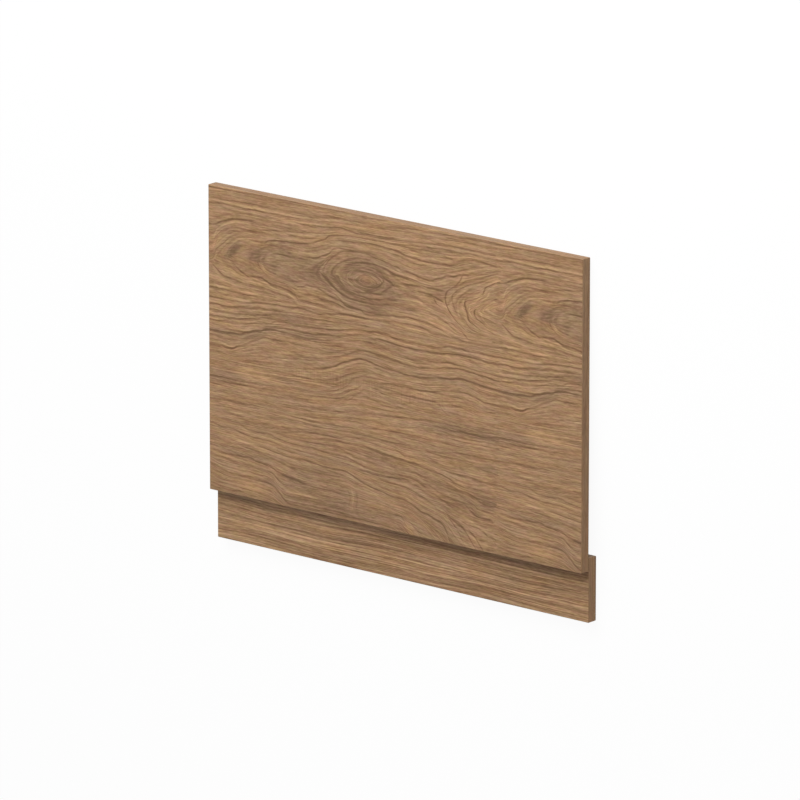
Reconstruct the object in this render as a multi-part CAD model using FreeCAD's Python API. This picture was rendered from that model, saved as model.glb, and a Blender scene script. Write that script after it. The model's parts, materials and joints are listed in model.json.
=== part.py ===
"""End panel for a bath: an oak-decor face board with a plinth board screwed to its back.

The plinth is set back behind the lower edge of the face board, and laps up behind it, which makes the toe
recess along the floor. Four countersunk screws go in from behind, through the plinth into the face board.

Millimetres. The boards are drawn in their own frame first: X along the width, Y up the panel from the
face board's lower edge, Z out of the decor face, with the plinth's back at Z = 0. They are then laid down
on a level floor, face up, as the real panel lies: the plinth lifts one end, so the panel slopes a little
from the plinth down to its top edge.
"""
import math
import os

import FreeCAD, Part
from FreeCAD import Vector

# Boards
board_width = 730.0
panel_height = 480.0
panel_thickness = 18.0
plinth_height = 100.0
plinth_thickness = 18.0
plinth_overlap = 20.0
arris_radius = 1.0

# Screws that hold the plinth to the face board
screw_count = 4
screw_end_margin = 65.0
screw_diameter = 4.0
screw_head_diameter = 8.0
screw_head_rim = 0.4
screw_head_sink = 0.5
screw_point_length = 4.0
screw_cover = 5.5
cross_recess_width = 1.2
cross_recess_span = 4.4
cross_recess_depth = 1.8

# Clearances round a screw, on the radius
shank_clearance = 0.25
seat_clearance = 0.1
pilot_clearance = 0.05

# Heights through the thickness, from the back of the plinth
panel_back = plinth_thickness
panel_front = panel_back + panel_thickness
screw_head_top = screw_head_sink
screw_tip = panel_front - screw_cover

# Places across the faces
screw_line = plinth_overlap / 2
screw_span = board_width - 2 * screw_end_margin
screw_pitch = screw_span / (screw_count - 1)
screw_places = [index * screw_pitch - screw_span / 2 for index in range(screw_count)]


def board(height, thickness, lower_edge, back):
    """A flat board, centred on X, with all its arrises softened to one small radius."""
    corner = Vector(-board_width / 2, lower_edge, back)
    blank = Part.makeBox(board_width, height, thickness, corner)
    return blank.makeFillet(arris_radius, blank.Edges)


def turned(profile):
    """The solid that a closed profile of (radius, height) points sweeps about the Z axis."""
    outline = Part.makePolygon([Vector(radius, 0, height) for radius, height in profile + profile[:1]])
    return Part.Face(outline).revolve(Vector(0, 0, 0), Vector(0, 0, 1), 360)


def countersunk_form(radius, head_radius, rim, top, tip, point):
    """A countersunk screw's outer form, head at the bottom: flat top, rim, 90 degree cone, shank, point."""
    cone_base = top + rim
    cone_end = cone_base + head_radius - radius
    return turned([
        (0, top),
        (head_radius, top),
        (head_radius, cone_base),
        (radius, cone_end),
        (radius, tip - point),
        (0, tip),
    ])


def cross_recess():
    """The driver's cross, cut into the head from behind."""
    arm = Part.makeBox(
        cross_recess_span,
        cross_recess_width,
        cross_recess_depth,
        Vector(-cross_recess_span / 2, -cross_recess_width / 2, screw_head_top),
    )
    other_arm = arm.copy()
    other_arm.rotate(Vector(0, 0, 0), Vector(0, 0, 1), 90)
    return arm.fuse(other_arm)


def plinth_screw():
    """One screw on the Z axis, driven from the back towards the decor face."""
    form = countersunk_form(
        screw_diameter / 2,
        screw_head_diameter / 2,
        screw_head_rim,
        screw_head_top,
        screw_tip,
        screw_point_length,
    )
    return form.cut(cross_recess())


def plinth_hole():
    """The clearance hole and countersink that one screw passes through, open at the plinth's back."""
    shank_radius = screw_diameter / 2 + shank_clearance
    seat_radius = screw_head_diameter / 2 + seat_clearance
    cone_base = screw_head_top + screw_head_rim
    cone_end = cone_base + seat_radius - shank_radius
    return turned([
        (0, -arris_radius),
        (seat_radius, -arris_radius),
        (seat_radius, cone_base),
        (shank_radius, cone_end),
        (shank_radius, panel_back + arris_radius),
        (0, panel_back + arris_radius),
    ])


def pilot_hole():
    """The blind hole in the face board's back that one screw bites into."""
    pilot_radius = screw_diameter / 2 + pilot_clearance
    return turned([
        (0, panel_back - arris_radius),
        (pilot_radius, panel_back - arris_radius),
        (pilot_radius, screw_tip - screw_point_length),
        (0, screw_tip + pilot_clearance),
    ])


def at_each_screw(shape):
    """Copies of a shape drawn on the Z axis, one at each screw's place."""
    return [shape.translated(Vector(place, screw_line, 0)) for place in screw_places]


def build_pieces():
    """Every piece by its name, in the boards' own frame."""
    face_board = board(panel_height, panel_thickness, 0, panel_back).cut(at_each_screw(pilot_hole()))
    plinth_board = board(plinth_height, plinth_thickness, plinth_overlap - plinth_height, 0)
    pieces = {
        "face_board": face_board,
        "plinth_board": plinth_board.cut(at_each_screw(plinth_hole())),
    }
    for number, screw in enumerate(at_each_screw(plinth_screw()), start=1):
        pieces[f"plinth_screw_{number}"] = screw
    return pieces


def laid_down(pieces):
    """The pieces as they lie, face up: on the plinth's upper back arris and the panel's top back arris."""
    slope = math.degrees(math.atan2(plinth_thickness, panel_height - plinth_overlap))
    for shape in pieces.values():
        shape.rotate(Vector(0, 0, 0), Vector(1, 0, 0), -slope)
    box = Part.makeCompound(list(pieces.values())).optimalBoundingBox(False, False)
    for shape in pieces.values():
        shape.translate(Vector(-box.Center.x, -box.Center.y, -box.ZMin))
    return pieces


os.makedirs("parts", exist_ok=True)
for name, shape in laid_down(build_pieces()).items():
    shape.exportStep(f"parts/{name}.step")
    print(f"{name}: {len(shape.Solids)} solid, {shape.Volume / 1000:.2f} cm3, valid {shape.isValid()}")
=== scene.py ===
import json
import math

import bmesh
import bpy
from mathutils import Matrix, Vector

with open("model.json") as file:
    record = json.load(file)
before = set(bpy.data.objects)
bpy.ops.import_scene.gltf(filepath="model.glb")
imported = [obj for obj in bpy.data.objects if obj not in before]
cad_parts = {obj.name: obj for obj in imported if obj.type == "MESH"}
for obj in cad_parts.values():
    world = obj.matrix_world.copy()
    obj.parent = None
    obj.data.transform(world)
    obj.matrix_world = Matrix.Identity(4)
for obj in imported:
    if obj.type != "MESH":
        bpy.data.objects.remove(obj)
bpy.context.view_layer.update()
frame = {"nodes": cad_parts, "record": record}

# Face board
# The 18 mm board that closes the end of the bath: chipboard faced with a printed oak decor, with thin edging
# in the same print round its four edges. The print shows one wide-sawn plank, with the eye of a small knot
# left of the middle, and repeats along the board.

MM = 0.001
mounts = {mount["name"]: mount for mount in frame["record"]["mounts"]}


def mount_place(name):
    return Vector(mounts[name]["pos_m"]) / MM


def mount_axis(name):
    return Vector(mounts[name]["axis"])


# The boards' own frame, in mm: across, up the panel from the face board's lower edge, and out of the decor
# face from the plinth's back. The panel lies face up on its plinth, so this frame slopes a little.
across = Vector((1, 0, 0))
panel_up = mount_axis("top_edge")
face_out = -mount_axis("panel_back")
half_width = mount_place("right_edge").x
half_height = (mount_place("top_edge") - mount_place("right_edge")).dot(panel_up)
half_thickness = (mount_place("top_edge") - mount_place("panel_back")).dot(face_out)
plinth_thickness = (mount_place("panel_back") - mount_place("plinth_back")).dot(face_out)
panel_height = 2 * half_height
panel_front = plinth_thickness + 2 * half_thickness
panel_middle = plinth_thickness + half_thickness
board_origin = mount_place("top_edge") - panel_height * panel_up - panel_middle * face_out
board_slope = math.atan2(-panel_up.z, panel_up.y)


def screen(red, green, blue):
    """The shader's colour for one given as it looks on a screen, 0 to 255."""
    shares = [value / 255 for value in (red, green, blue)]
    linear = [((share + 0.055) / 1.055) ** 2.4 if share > 0.04045 else share / 12.92 for share in shares]
    return (*linear, 1.0)


class Nodes:
    """Adds shader nodes to one tree. Each step gives back the socket that holds its result."""

    def __init__(self, tree):
        self.tree = tree

    def add(self, kind, inputs, output=0, **settings):
        node = self.tree.nodes.new("ShaderNode" + kind)
        for name, value in settings.items():
            setattr(node, name, value)
        for key, value in inputs.items():
            if isinstance(value, bpy.types.NodeSocket):
                self.tree.links.new(value, node.inputs[key])
            else:
                node.inputs[key].default_value = value
        return node.outputs[output]

    def math(self, operation, first, second=0.0, third=0.0):
        return self.add("Math", {0: first, 1: second, 2: third}, operation=operation)

    def total(self, values):
        result = values[0]
        for value in values[1:]:
            result = self.math("ADD", result, value)
        return result

    def fade(self, value, start, end, low=0.0, high=1.0, kind="SMOOTHSTEP"):
        """Runs from low at start to high at end, and stays level beyond them."""
        places = {0: value, 1: start, 2: end, 3: low, 4: high}
        return self.add("MapRange", places, interpolation_type=kind)

    def point(self, x, y, z=0.0):
        return self.add("CombineXYZ", {0: x, 1: y, 2: z})

    def parts(self, vector):
        node = self.add("SeparateXYZ", {0: vector}).node
        return node.outputs[0], node.outputs[1], node.outputs[2]

    def curve(self, value, points):
        """A smooth curve through the given points."""
        node = self.add("FloatCurve", {1: value}).node
        node.mapping.use_clip = False
        node.mapping.extend = "HORIZONTAL"
        drawn = node.mapping.curves[0].points
        for index, (x, y) in enumerate(points):
            knot = drawn[index] if index < 2 else drawn.new(x, y)
            knot.location = (x, y)
            knot.handle_type = "AUTO_CLAMPED"
        node.mapping.update()
        return node.outputs[0]

    def streaks(self, along, growth, length, width, amount, layer, detail=1.0):
        """Noise drawn out along the grain, as much above as below zero."""
        place = self.point(self.math("DIVIDE", along, length), self.math("DIVIDE", growth, width), layer)
        noise = self.add("TexNoise", {"Vector": place, "Scale": 1.0, "Detail": detail, "Roughness": 0.55})
        return self.math("MULTIPLY_ADD", noise, 2 * amount, -amount)

    def mix(self, share, first, second, blend="MIX"):
        node = self.add("Mix", {0: share, 6: first, 7: second}, data_type="RGBA", blend_type=blend).node
        return node.outputs[2]

    def between(self, share, first, second):
        return self.add("Mix", {0: share, 2: first, 3: second})


def new_group(name, inputs):
    """An empty node group: its node steps and its input sockets by name."""
    tree = bpy.data.node_groups.new(name, "ShaderNodeTree")
    for socket in inputs:
        tree.interface.new_socket(socket, in_out="INPUT", socket_type="NodeSocketFloat")
    return Nodes(tree), tree.nodes.new("NodeGroupInput").outputs


def finish_group(steps, results, kind="NodeSocketFloat"):
    """Gives a node group its outputs, by name."""
    for name in results:
        steps.tree.interface.new_socket(name, in_out="OUTPUT", socket_type=kind)
    output = steps.tree.nodes.new("NodeGroupOutput")
    for name, value in results.items():
        steps.tree.links.new(value, output.inputs[name])
    return steps.tree


def place_group(steps, tree, values):
    """Sets a node group in a material, and gives back its outputs by name."""
    node = steps.tree.nodes.new("ShaderNodeGroup")
    node.node_tree = tree
    for name, value in values.items():
        steps.tree.links.new(value, node.inputs[name])
    return node.outputs


# The growth lines of the printed plank, which its grain runs along, from the heart of the figure outwards.
# Each is given by the places that it passes through, across and up the print.
upper_lines = [
    [(-385, 290), (-130, 310), (-85, 355), (-68, 378), (-50, 386), (-32, 378), (-10, 358), (50, 345),
     (110, 357), (142, 376), (163, 388), (180, 404), (204, 418), (224, 422)],
    [(-385, 300), (-130, 325), (-96, 362), (-85, 379), (-70, 390), (-55, 394), (-35, 390), (-20, 381),
     (0, 367), (50, 357), (100, 363), (118, 379), (140, 398), (172, 413), (204, 426), (224, 431)],
    [(-385, 310), (-160, 340), (-125, 366), (-105, 387), (-75, 404), (-42, 409), (0, 400), (50, 391),
     (80, 388), (98, 389), (130, 405), (175, 421), (204, 432), (224, 436)],
    [(-385, 320), (-280, 340), (-180, 358), (-152, 366), (-140, 377), (-120, 402), (-85, 416), (-55, 418),
     (-25, 414), (30, 403), (75, 398), (105, 408), (150, 419), (190, 434), (224, 440)],
    [(-385, 335), (-280, 358), (-262, 374), (-248, 389), (-215, 395), (-180, 395), (-150, 400), (-108, 418),
     (-50, 424), (0, 420), (60, 412), (85, 413), (125, 425), (175, 440), (224, 444)],
    [(-385, 350), (-340, 364), (-325, 379), (-300, 400), (-265, 406), (-225, 414), (-160, 422), (-130, 431),
     (-50, 438), (0, 436), (50, 429), (80, 429), (115, 431), (140, 442), (224, 446)],
    [(-385, 360), (-355, 371), (-346, 400), (-315, 419), (-275, 421), (-200, 425), (-160, 430), (-128, 437),
     (-100, 443), (-80, 445), (0, 446), (60, 450), (120, 453), (224, 454)],
    [(-385, 411), (-365, 418), (-345, 423), (-325, 432), (-300, 436), (-185, 438), (-140, 442), (-100, 449),
     (-50, 449), (60, 455), (224, 458)],
    [(-385, 444), (-240, 446), (-140, 450), (-100, 453), (-50, 452), (60, 458), (224, 461)],
    [(-385, 461), (-185, 463), (-85, 468), (75, 475), (224, 478)],
    [(-385, 480), (-180, 481), (224, 496)],
]
lower_lines = [
    [(-385, 450), (-120, 422), (-80, 387), (-66, 377), (-50, 374), (-34, 377), (-15, 392), (50, 404),
     (120, 391), (142, 376), (148, 357), (162, 346), (190, 339), (224, 336)],
    [(-385, 440), (-120, 410), (-88, 380), (-62, 369), (-48, 368), (-35, 371), (-20, 381), (0, 395),
     (50, 397), (90, 386), (104, 371), (120, 352), (140, 338), (165, 333), (224, 333)],
    [(-385, 430), (-140, 396), (-105, 374), (-85, 361), (-48, 355), (-25, 355), (0, 359), (40, 363),
     (80, 358), (108, 350), (132, 335), (155, 328), (224, 330)],
    [(-385, 420), (-180, 390), (-152, 383), (-140, 377), (-115, 359), (-85, 348), (-40, 346), (0, 350),
     (50, 350), (95, 342), (135, 326), (224, 328)],
    [(-385, 408), (-280, 388), (-262, 374), (-245, 362), (-215, 357), (-185, 350), (-150, 351), (-115, 346),
     (-92, 335), (-45, 328), (0, 335), (30, 337), (85, 332), (120, 323), (160, 323), (224, 326)],
    [(-385, 392), (-340, 384), (-325, 375), (-305, 358), (-270, 350), (-225, 344), (-200, 339), (-185, 329),
     (-120, 327), (-60, 326), (30, 331), (85, 326), (120, 319), (224, 324)],
    [(-385, 358), (-352, 354), (-330, 342), (-292, 336), (-255, 335), (-205, 328), (-140, 324),
     (-100, 323.5), (20, 328), (85, 323), (130, 317.5), (224, 322)],
    [(-385, 304), (-320, 306), (-270, 312), (-225, 316), (-165, 315), (-97, 320), (-30, 322), (40, 320),
     (85, 317), (130, 314), (224, 318)],
    [(-385, 284), (-315, 287), (-255, 295), (-200, 301), (-100, 306), (-50, 309), (60, 306), (130, 309),
     (224, 308)],
    [(-385, 269), (-315, 271), (-265, 279), (-202, 287), (-127, 293), (-80, 300), (-30, 304), (20, 300),
     (75, 299), (130, 305), (224, 304)],
    [(-385, 260), (-315, 260), (-260, 269), (-205, 279), (-150, 280), (-100, 287), (-60, 293), (-20, 294),
     (40, 290), (90, 293), (130, 296), (180, 293), (224, 294)],
    [(-385, 253), (-300, 255), (-270, 265), (-235, 272), (-205, 273), (-165, 271), (-120, 276), (-80, 282),
     (-47, 283), (32, 275), (90, 277), (130, 279), (224, 275)],
    [(-385, 230), (-345, 233), (-325, 229), (-300, 237), (-270, 251), (-245, 259), (-190, 259), (-130, 261),
     (-50, 266), (40, 262), (80, 265), (110, 271), (150, 273), (195, 267), (224, 268)],
    [(-385, 214), (-300, 214), (-190, 221), (-140, 229), (-105, 241), (-80, 251), (-55, 257), (-30, 253),
     (5, 247), (65, 248), (95, 254), (135, 259), (170, 256), (224, 252)],
    [(-385, 196), (-300, 197), (-180, 202), (-115, 205), (-85, 217), (-50, 228), (0, 228), (60, 229),
     (100, 235), (135, 242), (152, 240), (172, 231), (190, 230), (224, 231)],
    [(-385, 181), (-300, 179), (-225, 182), (-140, 186), (-105, 190), (-75, 205), (-50, 206), (0, 199),
     (110, 195), (224, 197)],
    [(-385, 158), (-230, 159), (-165, 163), (-85, 171), (-30, 176), (30, 180), (75, 184), (115, 180),
     (150, 177), (224, 181)],
    [(-385, 146), (-270, 146), (-180, 144), (-100, 150), (0, 154), (100, 157), (224, 159)],
    [(-385, 131), (-240, 135), (-130, 138), (-50, 140), (45, 140), (130, 144), (224, 147)],
    [(-385, 117), (-260, 117), (-210, 118), (-150, 126), (-25, 127), (0, 126), (30, 121), (55, 121),
     (95, 113), (140, 111), (224, 107)],
    [(-385, 113), (-285, 113), (-180, 115), (-100, 122), (-55, 122), (0, 116), (55, 112), (85, 107),
     (110, 101), (135, 93), (224, 88)],
    [(-385, 109), (-290, 107.5), (-245, 107), (-205, 102), (-130, 99.5), (-95, 99), (-65, 94), (0, 89),
     (45, 88), (62, 81), (120, 78), (150, 75), (165, 65), (185, 61), (224, 57)],
    [(-385, 106), (-317, 103), (-280, 97), (-240, 95), (-180, 90), (-95, 87), (-40, 82), (0, 81), (40, 78),
     (80, 70), (130, 65), (150, 60), (170, 51), (200, 49), (224, 39)],
    [(-385, 90), (-300, 87), (-247, 85), (-205, 80), (-125, 76), (-97, 77), (-70, 69), (-30, 60), (0, 54),
     (30, 51), (57, 40), (80, 34), (97, 28), (113, 2), (140, -25), (224, -40)],
    [(-385, 70), (-315, 65), (-270, 61), (-240, 57), (-215, 50), (-180, 43), (-80, 41), (0, 36), (40, 28),
     (75, 4), (110, -30), (224, -60)],
    [(-385, 58), (-345, 54), (-250, 49), (-237, 45), (-228, 37), (-205, 31), (-100, 29), (0, 26), (15, 25),
     (40, 2), (60, -20), (224, -80)],
    [(-385, 50), (-365, 45), (-340, 35), (-315, 33), (-250, 32), (-237, 28), (-225, 18), (-210, 7),
     (-120, 8), (0, 6), (40, -25), (224, -100)],
    [(-385, 4), (-250, -5), (-120, -25), (224, -150)],
]
print_repeat = 569.0
print_seam = 204.0
seam_spread = 36.0
closed_rings = 6
ring_step = 9.0
ring_rounding = 14.0
line_gap = 1.0


def height_on(path, x):
    """Where a growth line passes at one place across the print."""
    for (x0, y0), (x1, y1) in zip(path, path[1:]):
        if x <= x1:
            return y0 + (y1 - y0) * (x - x0) / (x1 - x0)
    return path[-1][1]


def ring_levels(lines):
    """How far out each growth line lies: even steps in the closed rings, and their mean spacing beyond."""
    places = range(round(-half_width), round(print_seam) + 1, 10)
    levels = [0.0]
    for inner, outer in zip(lines, lines[1:]):
        gaps = [abs(height_on(outer, x) - height_on(inner, x)) for x in places]
        levels.append(levels[-1] + (ring_step if len(levels) < closed_rings else sum(gaps) / len(gaps)))
    return levels


def growth_figure():
    """Where a place on the board lies in the print: across and up it, and how far out in the tree."""
    steps, given = new_group("oak figure", ["Across", "Up"])
    x = given["Across"]
    y = given["Up"]
    ragged = steps.streaks(x, y, 400.0, 3.0, seam_spread, 31.4, 2.0)
    past_seam = steps.math("GREATER_THAN", x, steps.math("ADD", ragged, print_seam))
    print_x = steps.math("MULTIPLY_ADD", past_seam, -print_repeat, x)
    print_y = steps.total([
        y,
        steps.streaks(print_x, y, 40.0, 20.0, 0.7, 3.3),
        steps.streaks(print_x, y, 12.0, 6.0, 0.7, 5.7),
    ])

    def side_growth(lines, toward, keep_out):
        levels = ring_levels(lines)
        inner = steps.curve(print_x, lines[0])
        inside = steps.math("MULTIPLY", steps.math("SUBTRACT", print_y, inner), toward)
        grown = steps.math("MINIMUM", inside, 0.0)
        for index, path in enumerate(lines[1:]):
            least = steps.math("ADD", inner, toward * line_gap)
            outer = steps.math(keep_out, steps.curve(print_x, path), least)
            rise = levels[index + 1] - levels[index]
            grown = steps.math("ADD", grown, steps.fade(print_y, inner, outer, 0.0, rise, "LINEAR"))
            inner = outer
        return grown

    above = side_growth(upper_lines, 1.0, "MAXIMUM")
    below = side_growth(lower_lines, -1.0, "MINIMUM")
    side = steps.math("MULTIPLY_ADD", steps.math("GREATER_THAN", above, below), 2.0, -1.0)
    growth = steps.math("MULTIPLY", steps.math("SMOOTH_MAX", above, below, ring_rounding), side)
    return finish_group(steps, {"Print across": print_x, "Print up": print_y, "Growth": growth})


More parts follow.
